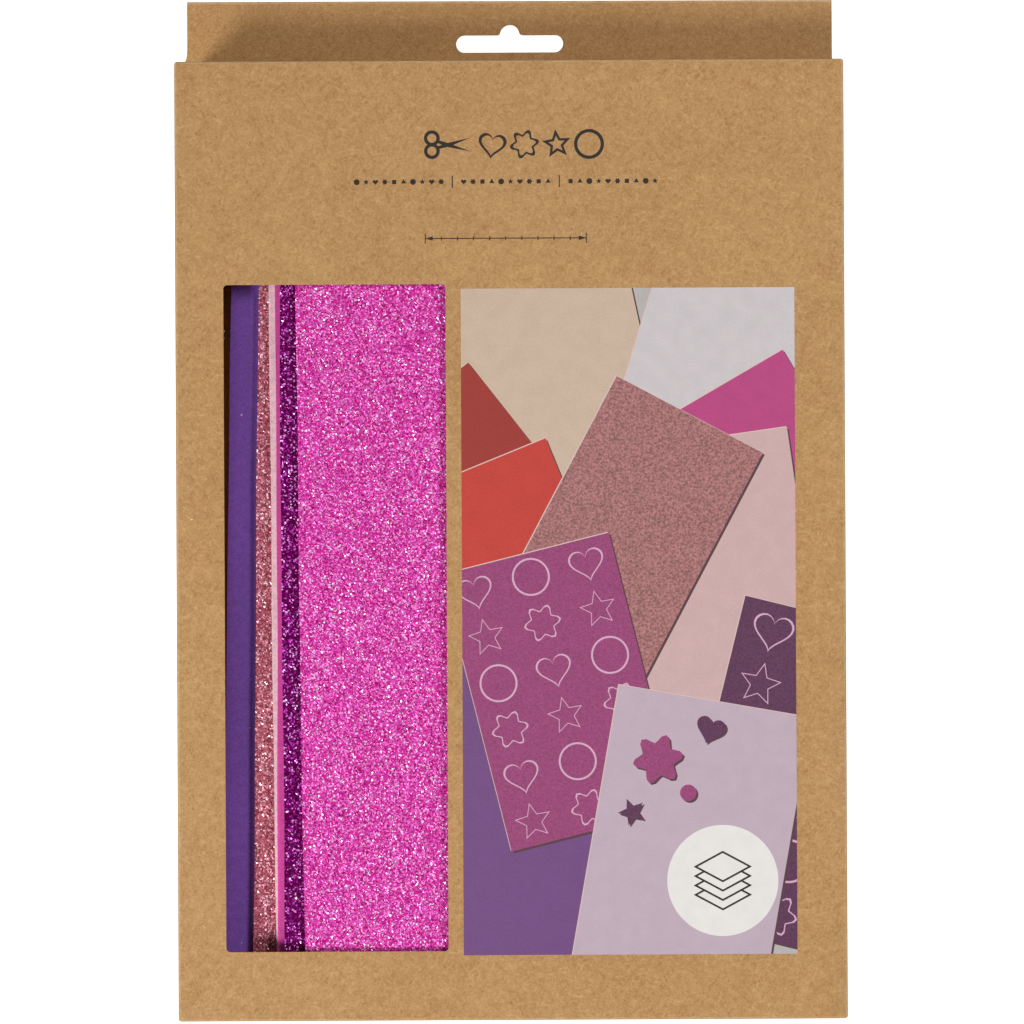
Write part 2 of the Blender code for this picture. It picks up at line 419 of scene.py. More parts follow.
def arc(centre: Point, radius: float, start: float, stop: float, steps: int) -> Array:
    """Points along a circle: centre plus radius times (cos a, sin a), a from start to stop in degrees."""
    angles = np.radians(np.linspace(start, stop, steps + 1))
    return np.array(centre) + radius * stacked(np.cos(angles), np.sin(angles))


def add_object(mesh: Mesh, materials: Sequence[Material]) -> Piece:
    """An object at the origin that shows this mesh in these materials."""
    for material in materials:
        mesh.materials.append(material)
    made = bpy.data.objects.new(mesh.name, mesh)
    bpy.context.scene.collection.objects.link(made)
    return made


def smooth_but_sharp(mesh: Mesh, degrees: float) -> None:
    """Shade the mesh smooth, except where two faces meet at more than this angle."""
    mesh.shade_smooth()
    mesh.set_sharp_from_angle(angle=math.radians(degrees))


def clean(mesh: Mesh, merge: bool) -> None:
    """Drop a mesh's points that no face uses, and merge those in one place if that is asked for."""
    shape = bmesh.new()
    shape.from_mesh(mesh)
    bmesh.ops.delete(shape, geom=[point for point in shape.verts if not point.link_faces], context="VERTS")
    if merge:
        bmesh.ops.remove_doubles(shape, verts=shape.verts, dist=SAME_PLACE)
    shape.to_mesh(mesh)
    shape.free()


def add_wall(piece: Piece, thickness: float) -> None:
    """Give an object's surface this thickness inwards, by a modifier."""
    wall = piece.modifiers.new("Wall", "SOLIDIFY")
    wall.thickness = thickness
    wall.offset = -1.0


def board(name: str, surface: Surface, thickness: float, material: Material) -> Piece:
    """Board of this thickness, whose outer face is the surface.

    Args:
        name: The object's name.
        surface: The outer face.
        thickness: How far the board reaches inwards from it.
        material: Its finish.

    Returns:
        The object, with its thickness in its mesh.
    """
    mesh = surface.mesh(name + "_face")
    clean(mesh, True)
    draft = add_object(mesh, [material])
    add_wall(draft, thickness)
    solid = bpy.data.meshes.new_from_object(draft.evaluated_get(bpy.context.evaluated_depsgraph_get()))
    solid.name = name
    bpy.data.objects.remove(draft)
    smooth_but_sharp(solid, SHARP_FOLD)
    return add_object(solid, [])


def dress(piece: Piece, slot: str, *nodes: str) -> Piece:
    """Let a finished piece ride with the pack, hide the nodes that it stands for, and log its face count."""
    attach(piece, BODY)
    if nodes:
        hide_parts(*nodes)
    LOG.info("%s: %d faces", piece.name, len(piece.data.polygons))
    return piece


def filled(loops: Sequence[Array]) -> tuple[Array, Array, list[list[int]]]:
    """Triangles that fill closed lines, which may cross one another. They are worked out in millimetres.

    Args:
        loops: The points of each line, anticlockwise.

    Returns:
        The triangles' points in X and Y, the triangles, and for each the lines that it lies inside.
    """
    starts = np.cumsum([0] + [len(loop) for loop in loops])
    corners = [Vector(point) for loop in loops for point in (loop * 1000.0).tolist()]
    faces = [list(range(low, high)) for low, high in zip(starts, starts[1:])]
    found, _, triangles, _, _, inside = delaunay_2d_cdt(corners, [], faces, 1, 1e-5)
    return np.array([tuple(point) for point in found]) / 1000.0, np.array(triangles), inside


def cut_board(outline: Array, hole: Array, height: float, flip: bool) -> Surface:
    """A flat die-cut shape: the triangles between its outline and its hole.

    Args:
        outline: The outer line's points in X and Y, anticlockwise.
        hole: The hole's points, anticlockwise.
        height: The shape's Z.
        flip: Whether its face looks down.

    Returns:
        The surface, without wear or painted shade.
    """
    flat, triangles, inside = filled([outline, hole])
    kept = triangles[[lines == [0] for lines in inside]]
    return Surface(stacked(*flat.T, height), [kept[:, ::-1] if flip else kept])


@dataclass
class Carton:
    """The kraft carton: one blank of board with a window, two tucked ends and a header with a slot."""

    board: float = 0.0005
    seat: float = 0.00025
    fold: float = 0.0008
    fold_steps: int = 7
    print_room: float = 0.00006
    wide_step: float = 0.005
    beside_fold: tuple[float, ...] = (0.0003, 0.0007, 0.0015)
    window_left: float = 0.0129
    window_width: float = 0.0592
    window_bottom: float = 0.01855
    window_length: float = 0.17775
    window_corner: float = 0.0010
    beside_cut: tuple[float, ...] = (0.00012, 0.0003, 0.0010)
    cut_press: float = 0.00005
    cut_press_width: float = 0.00015
    tuck: float = 0.014
    dust_flap: float = 0.046
    dust_fold: float = 0.0005
    dust_taper: float = 0.12
    glue_flap: float = 0.013
    glue_seam: float = 0.00095
    glue_gap: float = 0.00003
    glue_turn: float = 0.0009
    beside_side: tuple[float, ...] = (0.0005,)
    beside_end: tuple[float, ...] = (0.0004, 0.001)
    header: float = 0.0207
    header_insets: Point = (0.00055, 0.00005)
    header_flare: Point = (0.0043, 0.0068)
    header_drop: float = 0.00024
    header_board: float = 0.00048
    header_strip: float = 0.0012
    slot_length: float = 0.0298
    slot_height: float = 0.0049
    slot_above: float = 0.0062
    slot_hump: float = 0.00285
    slot_fillet: float = 0.0007
    slot_steps: int = 24
    fillet_steps: int = 6
    slot_shift: Point = (0.00045, 0.0)
    rear_slot_shift: Point = (-0.00026, 0.00020)
    worn_rim: float = 0.5
    worn_width: float = 0.00022
    worn_share: float = 0.7
    # How wide, how strong and how far down the side the painted shade on the front's outermost fold rims
    # reaches.
    rim_shade_width: float = 0.00020
    rim_shade_share: float = 0.8
    rim_shade_drop: float = 0.0003
    side_rim: float = 0.4
    side_wear_width: float = 0.0004
    side_wear_share: float = 0.85

    def __post_init__(self) -> None:
        """Take the carton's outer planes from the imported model."""
        low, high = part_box(CARTON_NODE)
        self.half = high.x
        self.bottom = low.y
        self.header_top = high.y
        self.top = high.y - self.header
        self.front = high.z - self.print_room
        self.kraft = KraftFinish().build()

    @property
    def window(self) -> tuple[float, float, float, float]:
        """The window's left, right, lower and upper edges."""
        left = -self.half + self.window_left
        bottom = self.bottom + self.window_bottom
        return left, left + self.window_width, bottom, bottom + self.window_length

    @property
    def side_end(self) -> float:
        """How far inside the carton's ends the side panels fold in."""
        return self.board + self.seat + self.dust_fold

    def front_height(self, x: Array, y: Array) -> Array:
        """Z of the front panel, which sinks at the window's cut edge as exp(-distance / width)."""
        left, right, low, high = self.window
        away_x = np.maximum(np.maximum(left - x, x - right), 0.0)
        away_y = np.maximum(np.maximum(low - y, y - high), 0.0)
        return self.front - self.cut_press * np.exp(-np.hypot(away_x, away_y) / self.cut_press_width)

    def front_path(self) -> tuple[Array, Array]:
        """The path in Y and Z of the front panel with its ends: tuck flap, end panel, front, and back down.

        Returns:
            The path's points, and the kind of each: 0 on the front's flat, 1 on its end folds, 2 beyond them.
        """
        inner = self.board + self.seat
        low, level = self.bottom + self.fold, self.front - self.fold
        _, _, window_low, window_high = self.window
        beside = (*self.beside_cut, *self.beside_fold)
        flat = grid_lines([low, window_low, window_high, self.top - self.fold], self.wide_step, beside)
        wall = grid_lines([inner + self.fold, level], self.wide_step, self.beside_fold)[1:-1]
        end = [
            (np.array([[self.bottom + self.tuck, inner], [low + self.fold, inner]]), 2),
            (arc((low, inner + self.fold), self.fold, 270.0, 180.0, self.fold_steps), 2),
            (stacked(self.bottom, wall), 2),
            (arc((low, level), self.fold, 180.0, 90.0, self.fold_steps)[:-1], 1),
        ]
        far_end = [(run[::-1] * [-1.0, 1.0] + [self.bottom + self.top, 0.0], kind) for run, kind in end[::-1]]
        runs = [*end, (stacked(flat, self.front), 0), *far_end]
        kinds = np.concatenate([np.full(len(run), kind) for run, kind in runs])
        return np.concatenate([run for run, _ in runs]), kinds

    def window_corners(self, start: int) -> tuple[Array, Array]:
        """The board inside the window's four round corners: fans between each corner and a quarter circle.

        Args:
            start: The index of the first new point.

        Returns:
            The new points, which are each corner and its arc, and the triangles.
        """
        left, right, low, high = self.window
        radius = self.window_corner
        steps = self.fold_steps
        quarters = [
            ((left, low), (left + radius, low + radius), 180.0),
            ((right, low), (right - radius, low + radius), 270.0),
            ((right, high), (right - radius, high - radius), 0.0),
            ((left, high), (left + radius, high - radius), 90.0),
        ]
        flats = [
            np.concatenate([[corner], arc(centre, radius, angle, angle + 90.0, steps)])
            for corner, centre, angle in quarters
        ]
        x, y = np.concatenate(flats).T
        first = start + np.arange(len(quarters))[:, None] * (steps + 2)
        along = first + 1 + np.arange(steps)[None, :]
        return stacked(x, y, self.front_height(x, y)), stacked(first, along + 1, along).reshape(-1, 3)

    def front_panel(self) -> Piece:
        """The front panel with its window and side folds, and the end panels and tuck flaps that hang on it.

        The surface is the path in Y and Z carried along X, without the faces inside the window. Beside it,
        the side folds swing round by an angle a: X is the flat's end plus r sin a, and the path's distance
        from its own fold's axis shrinks as r cos a. So each corner of the front is an eighth of a sphere.
        """
        left, right, low, high = self.window
        edge, radius = self.half - self.fold, self.fold
        beside = (*self.beside_cut, *self.beside_fold)
        flat_x = grid_lines([-edge, left, right, edge], self.wide_step, beside)
        swing = np.radians(np.linspace(0.0, 90.0, self.fold_steps + 1))[1:]
        angles = np.concatenate([-swing[::-1], np.zeros(len(flat_x)), swing])
        xs = np.concatenate([np.full(len(swing), -edge), flat_x, np.full(len(swing), edge)])
        path, kinds = self.front_path()
        along, height, kind = path[:, :1], path[:, 1:], kinds[:, None]
        axis = np.where(kind == 1, np.clip(along, self.bottom + radius, self.top - radius), along)
        x = xs + radius * np.sin(angles)
        y = axis + (along - axis) * np.cos(angles)
        bent = self.front - radius + (height - self.front + radius) * np.cos(angles)
        flat = (kind == 0) & (angles == 0.0)
        z = np.where(flat, self.front_height(x, y), np.where(kind < 2, bent, height))
        points = stacked(x, y, z).reshape(-1, 3)
        quads = grid_quads(len(path), len(xs))
        mid_x, mid_y, _ = points[quads].mean(axis=1).T
        rows, columns = quads // len(xs), quads % len(xs)
        in_window = (mid_x > left) & (mid_x < right) & (mid_y > low) & (mid_y < high)
        hole = in_window & (kinds[rows] == 0).all(axis=1)
        past_corner = (kinds[rows] == 2).any(axis=1) & (angles[columns] != 0.0).any(axis=1)
        corners, fans = self.window_corners(len(points))
        surface = Surface(
            np.concatenate([points, corners]),
            [quads[~hole & ~past_corner], fans],
            np.concatenate([self.edge_wear_and_shade(points), np.zeros(len(corners))]),
        )
        return board("carton_front_panel", surface, self.board, self.kraft)

    def edge_wear_and_shade(self, points: Array) -> Array:
        """Wear and painted shade along the front's folds: pale where the board turns down, and painted shade
        on the outermost rim.

        Both fade as exp(-(distance / width)^2), and the painted shade also fades down the side as
        exp(-distance / rim_shade_drop).
        """
        side = self.half - np.abs(points[:, 0])
        end = np.minimum(points[:, 1] - self.bottom, self.top - points[:, 1])
        near, drop = np.minimum(side, end), self.front - points[:, 2]
        rim = self.worn_rim * self.fold
        away = np.hypot(near - rim, np.maximum(drop - rim, 0.0))
        below = np.maximum(drop - self.fold, 0.0)
        # The darkening of the outermost rim is painted shade, where the fold turns away from the light.
        rim_shade = np.exp(-((near / self.rim_shade_width) ** 2) - below / self.rim_shade_drop)
        return self.worn_share * np.exp(-((away / self.worn_width) ** 2)) - self.rim_shade_share * rim_shade

    def wrap(self, path: Array, path_wear: Array, flip: bool) -> Surface:
        """A path in X and Z carried along Y, from one end fold of the sides to the other."""
        low, high = self.bottom + self.side_end, self.top - self.side_end
        ys = grid_lines([low, high], self.wide_step, self.beside_end)
        x, y = np.meshgrid(path[:, 0], ys, indexing="ij")
        points = stacked(x, y, path[:, 1:]).reshape(-1, 3)
        return Surface(points, [grid_quads(len(path), len(ys), flip)], np.repeat(path_wear, len(ys)))

    def dust_flap_surface(self, side: float, end: float, heights: Array) -> Surface:
        """A flap from a side panel, folded in under an end panel and narrowed towards its tip.

        Args:
            side: -1 on the left, 1 on the right.
            end: -1 at the bottom, 1 at the top.
            heights: Z of the rows of the side panel that it hangs on.

        Returns:
            The surface. Its points are the fold's arc and the tip, carried along Z.
        """
        turn = arc((self.half - self.dust_fold, 0.0), self.dust_fold, 0.0, 90.0, self.fold_steps)
        tip = np.array([[self.half - self.dust_flap, self.dust_fold]])
        line = np.concatenate([turn, tip])
        hinge = self.top - self.side_end if end > 0 else self.bottom + self.side_end
        gone = np.concatenate([np.zeros(len(turn)), [1.0]])
        middle = (heights[0] + heights[-1]) / 2
        z = middle + (heights[:, None] - middle) * (1 - self.dust_taper * gone)
        points = stacked(side * line[:, 0], hinge + end * line[:, 1], z).reshape(-1, 3)
        flip = (side * end > 0) != (heights[-1] > heights[0])
        return Surface(points, [grid_quads(len(heights), len(line), flip)])

    def back_and_sides(self) -> Piece:
        """Both sides, the back, the glue flap inside the left side, and the dust flaps."""
        edge, fold, steps = self.half - self.fold, self.fold, self.fold_steps
        side_rows = grid_lines([fold, self.front - fold], self.wide_step, self.beside_side)[::-1]
        left_rows = grid_lines([self.glue_seam, self.front - fold], self.wide_step, self.beside_side)[::-1]
        back_lines = grid_lines([-edge, edge], self.wide_step, self.beside_fold)[::-1]
        inside = -self.half + self.board + self.glue_gap
        flap = np.array([[inside, fold + self.glue_turn], [inside, self.glue_flap]])
        right_path = np.concatenate([
            stacked(self.half, side_rows)[:-1],
            arc((edge, fold), fold, 0.0, -90.0, steps),
            stacked(back_lines, 0.0)[1:-1],
            arc((-edge, fold), fold, 270.0, 180.0, steps),
            flap,
        ])
        left_path = stacked(-self.half, left_rows)
        parts = [
            self.wrap(right_path, self.fold_wear(right_path), True),
            self.wrap(left_path, self.fold_wear(left_path), False),
        ]
        for end in (-1.0, 1.0):
            parts.append(self.dust_flap_surface(1.0, end, side_rows))
            parts.append(self.dust_flap_surface(-1.0, end, left_rows))
        return board("carton_back_and_sides", Surface.joined(parts), self.board, self.kraft)

    def fold_wear(self, path: Array) -> Array:
        """Wear along a path in X and Z: full in the middle of each fold, fading as exp(-distance / width)."""
        corner_x = self.half - np.abs(path[:, 0])
        corner_z = np.minimum(path[:, 1], self.front - path[:, 1])
        away = np.maximum(np.hypot(corner_x, corner_z) - self.side_rim * self.fold, 0.0)
        return self.side_wear_share * np.exp(-away / self.side_wear_width)

    def slot_outline(self, shift: Point) -> Array:
        """The hanging slot's line: a bar with round ends and, on its upper edge, a round hump.

        Between the bar and the hump runs a fillet. Its centre is a fillet's radius above the bar's edge, and
        that radius plus the hump's away from the hump's centre.
        """
        radius, fillet = self.slot_height / 2, self.slot_fillet
        reach = self.slot_length / 2 - radius
        middle = self.top + self.slot_above + radius
        lean = math.degrees(math.asin(fillet / (self.slot_hump + fillet)))
        beside = math.sqrt(self.slot_hump**2 + 2 * self.slot_hump * fillet)
        level = middle + radius + fillet
        line = np.concatenate([
            arc((reach, middle), radius, -90.0, 90.0, self.slot_steps),
            arc((beside, level), fillet, 270.0, 180.0 + lean, self.fillet_steps),
            arc((0.0, middle + radius), self.slot_hump, lean, 180.0 - lean, self.slot_steps)[1:-1],
            arc((-beside, level), fillet, 360.0 - lean, 270.0, self.fillet_steps),
            arc((-reach, middle), radius, 90.0, 270.0, self.slot_steps),
        ])
        return line + np.array(shift)

    def header_panel(self) -> Piece:
        """The header: the back panel carried up, folded forward at its top and laid on itself.

        Each layer is flat and die-cut. A strip with the round fold, carried along X, joins them. Every point
        is then lowered by the drop, times its share of the way to the right and of the way up.
        """
        left, right = -self.half + self.header_insets[0], self.half - self.header_insets[1]
        edge = self.half - self.fold
        depth = 2 * self.board
        fold_low = self.header_top - depth / 2
        strip_low = fold_low - self.header_strip
        turn = arc((fold_low, depth / 2), depth / 2, -90.0, 90.0, self.fold_steps)
        near = fold_low - self.beside_fold[0]
        path = np.concatenate([[[strip_low, 0.0], [near, 0.0]], turn, [[near, depth], [strip_low, depth]]])
        xs = grid_lines([left, right], self.wide_step)
        x, y = np.meshgrid(xs, path[:, 0])
        path_wear = np.concatenate([[0.0, 0.0], np.full(len(turn), self.worn_share), [0.0, 0.0]])
        strip = Surface(
            stacked(x, y, path[:, 1:]).reshape(-1, 3),
            [grid_quads(len(path), len(xs), True)],
            np.repeat(path_wear, len(xs)),
        )
        top_edge = stacked(xs[::-1], strip_low)
        neck = self.top - self.side_end
        shoulder = self.top + self.seat
        back_lines = grid_lines([-edge, edge], self.wide_step, self.beside_fold)
        flare = np.linspace(0.0, 1.0, self.fold_steps)
        rise = self.top + self.header_flare[0] + (self.header_flare[1] - self.header_flare[0]) * flare
        right_line = stacked(self.half + (right - self.half) * np.sqrt(flare), rise)
        left_line = stacked(-self.half + (left + self.half) * np.sqrt(flare), rise)[::-1]
        above = np.concatenate([right_line, top_edge, left_line])
        rear_outline = np.concatenate([
            stacked(back_lines, neck),
            [[self.half, neck]],
            above,
            [[-self.half, neck]],
        ])
        front_outline = np.concatenate([[[-self.half, shoulder], [self.half, shoulder]], above])
        rear_slot = self.slot_outline(tuple(np.add(self.slot_shift, self.rear_slot_shift)))
        rear = cut_board(rear_outline, rear_slot, 0.0, True)
        front = cut_board(front_outline, self.slot_outline(self.slot_shift), depth, False)
        surface = Surface.joined([strip, rear, front])
        x, y = surface.points[:, 0], surface.points[:, 1]
        up = np.maximum(y - self.top, 0.0) / self.header
        surface.points[:, 1] = y - self.header_drop * up * (x + self.half) / (2 * self.half)
        return board("carton_header", surface, self.header_board, self.kraft)

    def build(self) -> None:
        """Make and dress the carton's pieces."""
        for piece in (self.front_panel(), self.back_and_sides(), self.header_panel()):
            dress(piece, KRAFT_SLOT, CARTON_NODE)


def slab(xs: Array, ys: Array, thickness: float, rounding: float, steps: int = 2) -> Surface:
    """A closed slab with soft edges: two grids and, around them, a profile of two quarter circles.

    Args:
        xs: Grid lines across the flat, without the rounding.
        ys: Grid lines along the flat, without the rounding.
        thickness: The slab's height, from Z 0.
        rounding: The radius of its edges.
        steps: How many steps each quarter circle has.

    Returns:
        The surface. The points of its upper grid come first, row by row.
    """
    columns, rows = len(xs), len(ys)
    x, y = np.meshgrid(xs, ys)
    upper = stacked(x, y, thickness).reshape(-1, 3)
    index = np.arange(rows * columns).reshape(rows, columns)
    around = np.concatenate([index[0, :-1], index[:-1, -1], index[-1, :0:-1], index[:0:-1, 0]])
    out = stacked((x == xs[-1]) * 1.0 - (x == xs[0]), (y == ys[-1]) * 1.0 - (y == ys[0]))
    out = out.reshape(-1, 2)[around]
    angles = np.radians(np.linspace(90.0, 0.0, steps + 1))[1:]
    reach = rounding * np.cos(np.concatenate([angles, angles[::-1]]))
    height = np.concatenate([
        thickness - rounding + rounding * np.sin(angles),
        rounding - rounding * np.sin(angles[::-1]),
    ])
    rim = upper[around][None, :, :2] + out[None, :, :] * reach[:, None, None]
    rings = stacked(rim[..., 0], rim[..., 1], height[:, None])
    centre = np.array([[float(np.mean(xs)), float(np.mean(ys)), 0.0]])
    low_rim = upper[around] * [1.0, 1.0, 0.0]
    points = np.concatenate([upper, rings.reshape(-1, 3), low_rim, centre])
    count = len(around)
    ring_index = len(upper) + np.arange((len(reach) + 1) * count).reshape(-1, count)
    loops = np.concatenate([around[None, :], ring_index])
    after = np.roll(loops, -1, axis=1)
    sides = stacked(loops[1:], after[1:], after[:-1], loops[:-1]).reshape(-1, 4)
    base = stacked(len(points) - 1, after[-1], loops[-1])
    return Surface(points, [grid_quads(rows, columns), sides, base])


@dataclass(frozen=True)
class GlitterCoat:
    """A crust of glitter: small flat facets, each with its own tilt and one of a few metallic tones."""

    tones: tuple[FlakeTone, ...]
    shown_from: float = 0.0
    shown_to: float = 0.0
    seed: int = 1
    thickness: float = 0.00030
    edge: float = 0.00001
    flake: float = 0.00035
    hidden_flake: float = 0.0022
    jitter: float = 0.33
    relief: float = 0.00018
    broken: float = 0.4

    def surface(self, width: float, length: float, shown_y: Point) -> tuple[Surface, Array]:
        """The coat on a sheet that is centred on the origin.

        The upper grid's points move in X, Y and Z by evenly spread random amounts, and each of its squares is
        cut into two triangles along a random diagonal. The triangles of a broken square differ in tone.

        Args:
            width: The sheet's width.
            length: The sheet's length.
            shown_y: From where to where in Y the window shows the sheet, where the flakes are finest.

        Returns:
            The surface and the tone of each of its faces.
        """
        draw = np.random.default_rng(self.seed)
        xs = self.lines(-width / 2, width / 2, self.shown_from, self.shown_to)
        ys = self.lines(-length / 2, length / 2, *shown_y)
        coat = slab(xs, ys, self.thickness, self.edge, 1)
        inner = np.zeros((len(ys), len(xs)), bool)
        inner[1:-1, 1:-1] = True
        inner = inner.ravel()
        count = int(inner.sum())
        gap_x = np.minimum(np.gradient(xs), self.flake)
        gap_y = np.minimum(np.gradient(ys), self.flake)
        gaps = stacked(*np.meshgrid(gap_x, gap_y)).reshape(-1, 2)[inner]
        top = coat.points[: len(inner)]
        top[inner, :2] += gaps * draw.uniform(-self.jitter, self.jitter, (count, 2))
        top[inner, 2] -= draw.uniform(0.0, self.relief, count)
        quads = coat.faces[0]
        steep = draw.random(len(quads)) < 0.5
        first = np.where(steep[:, None], quads[:, [0, 1, 2]], quads[:, [0, 1, 3]])
        second = np.where(steep[:, None], quads[:, [0, 2, 3]], quads[:, [1, 2, 3]])
        shares = np.array([tone.share for tone in self.tones])
        shares = shares / shares.sum()
        tone = draw.choice(len(shares), len(quads), p=shares)
        split = draw.random(len(quads)) < self.broken
        other = np.where(split, draw.choice(len(shares), len(quads), p=shares), tone)
        rest = sum(len(faces) for faces in coat.faces[1:])
        tones = np.concatenate([tone, other, np.zeros(rest, int)])
        return Surface(coat.points, [first, second, *coat.faces[1:]], coat.wear_and_shade), tones

    def lines(self, low: float, high: float, shown_low: float, shown_high: float) -> Array:
        """Grid lines from low to high, a flake apart where the coat shows and wider elsewhere."""
        if shown_high <= shown_low:
            return grid_lines([low, high], self.hidden_flake)
        shown_low, shown_high = max(low, shown_low), min(high, shown_high)
        runs = [grid_lines([shown_low, shown_high], self.flake)]
        if shown_low - low > self.flake:
            runs.insert(0, grid_lines([low, shown_low], self.hidden_flake)[:-1])
        if high - shown_high > self.flake:
            runs.append(grid_lines([shown_high, high], self.hidden_flake)[1:])
        return np.concatenate(runs)


@dataclass
class FoamSheet:
    """One foam sheet of the stack, with its glitter coat if it has one."""

    node: str
    slot: str
    colour: Colour
    coat: GlitterCoat | None = None
    width: float = 0.140
    length: float = 0.250
    thickness: float = 0.002
    edge: float = 0.00012
    step: float = 0.0025
    edge_sway: float = 0.00012
    sway_waves: tuple[tuple[float, float, float], ...] = ((9.0, 1.0, 2.1), (23.0, 0.6, 3.57))
    lean: float = 0.0
    seed: int = 0

    def place(self) -> tuple[Array, float]:
        """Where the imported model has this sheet.

        The turn is that of the longest principal axis of the node's corner points.

        Returns:
            The middle of its lower face, and its turn about Z in radians.
        """
        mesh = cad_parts[self.node].data
        points = np.empty(len(mesh.vertices) * 3, np.float32)
        mesh.vertices.foreach_get("co", points)
        points = np.unique(np.round(points.reshape(-1, 3).astype(float), 6), axis=0)
        low, high = points.min(axis=0), points.max(axis=0)
        middle = (low + high) / 2
        axis = np.linalg.svd(points - middle, full_matrices=False)[2][0]
        axis = axis * np.sign(axis[1])
        return np.array([middle[0], middle[1], low[2]]), math.atan2(-axis[0], axis[1])

    def set_down(self, points: Array, height: float) -> Array:
        """Points of a sheet centred on the origin, swayed at its long edges, turned and put in their place.

        The sway in X is a sum of sine waves, share * sin(turns * Y / length + shift * seed), full at both
        long edges and gone in the middle. The upper half also leans over in X, by the square of its distance
        from the middle.
        """
        middle, turn = self.place()
        along = points[:, 1] / self.length
        waves = self.sway_waves
        sway = sum(share * np.sin(turns * along + shift * self.seed) for turns, share, shift in waves)
        x = points[:, 0] + self.edge_sway * sway * np.abs(2 * points[:, 0] / self.width) ** 3
        x = x + self.lean * (2 * np.maximum(along, 0.0)) ** 2
        turned_x = x * math.cos(turn) - points[:, 1] * math.sin(turn)
        turned_y = x * math.sin(turn) + points[:, 1] * math.cos(turn)
        return stacked(turned_x, turned_y, points[:, 2] + height) + middle

    def build(self, below: str | None, shown_y: Point) -> Piece:
        """Make and dress the sheet.

        Args:
            below: The name of the piece that it lies on. It is not used.
            shown_y: From where to where in Y the window shows the sheets, about their middle.

        Returns:
            The sheet's object.
        """
        foam = self.thickness - (self.coat.thickness if self.coat else 0.0)
        half_x, half_y = self.width / 2 - self.edge, self.length / 2 - self.edge
        xs = grid_lines([-half_x, half_x], self.step)
        ys = grid_lines([-half_y, half_y], self.step)
        surface = slab(xs, ys, foam, self.edge)
        surface.points = self.set_down(surface.points, 0.0)
        label = self.node.replace("_", " ").capitalize()
        mesh = surface.mesh(self.node + "_stock")
        smooth_but_sharp(mesh, SHARP_EDGE)
        piece = add_object(mesh, [FoamFinish(label, self.colour).build()])
        dress(piece, self.slot, self.node)
        fixed = [self.build_coat(foam, label, shown_y)] if self.coat else []
        return piece

    def build_coat(self, foam: float, label: str, shown_y: Point) -> Piece:
        """Make and dress the sheet's glitter coat, which lies on foam of this height."""
        surface, tones = self.coat.surface(self.width, self.length, shown_y)
        surface.points = self.set_down(surface.points, foam)
        mesh = surface.mesh(self.node + "_glitter")
        mesh.polygons.foreach_set("material_index", tones.astype(np.int32))
        materials = [tone.build(f"{label} tone {order + 1}") for order, tone in enumerate(self.coat.tones)]
        return dress(add_object(mesh, materials), self.slot)


def flake_tones() -> dict[str, tuple[FlakeTone, ...]]:
    """The tones of each glitter: a colour, its share, and how metallic, rough and specular it is."""
    # The last two, brightest rows of the hot pink, violet and rose glitters are painted glints: bright flakes
    # that stand in for the sparkle of lit flakes, on top of the real glints that their specular gives.
    rows = {
        "hot_pink": (
            ((0.73, 0.020, 0.37), 0.44, 0.15, 0.28, 0.35),
            ((0.43, 0.004, 0.17), 0.19, 0.20, 0.28, 0.25),
            ((0.85, 0.120, 0.59), 0.26, 0.15, 0.28, 0.50),
            ((1.00, 0.360, 0.88), 0.08, 0.15, 0.22, 1.00),
            ((1.00, 0.800, 0.97), 0.04, 0.10, 0.22, 1.00),
        ),
        "violet": (
            ((0.104, 0.0002, 0.059), 0.56, 0.15, 0.30, 0.04),
            ((0.200, 0.001, 0.137), 0.23, 0.20, 0.28, 0.08),
            ((0.460, 0.010, 0.400), 0.11, 0.20, 0.28, 0.30),
            ((0.980, 0.150, 0.930), 0.06, 0.15, 0.22, 1.00),
            ((1.000, 0.520, 1.000), 0.05, 0.10, 0.22, 1.00),
        ),
        "rose": (
            ((0.45, 0.095, 0.136), 0.42, 0.15, 0.30, 0.20),
            ((0.26, 0.045, 0.068), 0.23, 0.20, 0.28, 0.15),
            ((0.64, 0.185, 0.258), 0.23, 0.15, 0.28, 0.30),
            ((0.96, 0.440, 0.540), 0.08, 0.15, 0.22, 1.00),
            ((1.00, 0.840, 0.890), 0.05, 0.10, 0.22, 1.00),
        ),
        "coral": (
            ((0.60, 0.16, 0.12), 0.60, 0.4, 0.32),
            ((0.40, 0.08, 0.06), 0.25, 0.5, 0.30),
            ((0.92, 0.70, 0.66), 0.15, 0.6, 0.25),
        ),
    }
    return {name: tuple(FlakeTone(*row) for row in tones) for name, tones in rows.items()}


def plain(seed: int, name: str, screen: Colour, lean: float = 0.0) -> FoamSheet:
    """A plain foam sheet of this name and screen colour."""
    return FoamSheet("foam_sheet_" + name, name + "_foam", linear(*screen), lean=lean, seed=seed)


def coated(seed: int, name: str, screen: Colour, **coat: float) -> FoamSheet:
    """A foam sheet of this name and screen colour, with a glitter coat of the tones of that name."""
    crust = GlitterCoat(flake_tones()[name], seed=seed, **coat)
    return FoamSheet("glitter_sheet_" + name, name + "_glitter_foam", linear(*screen), crust, seed=seed)


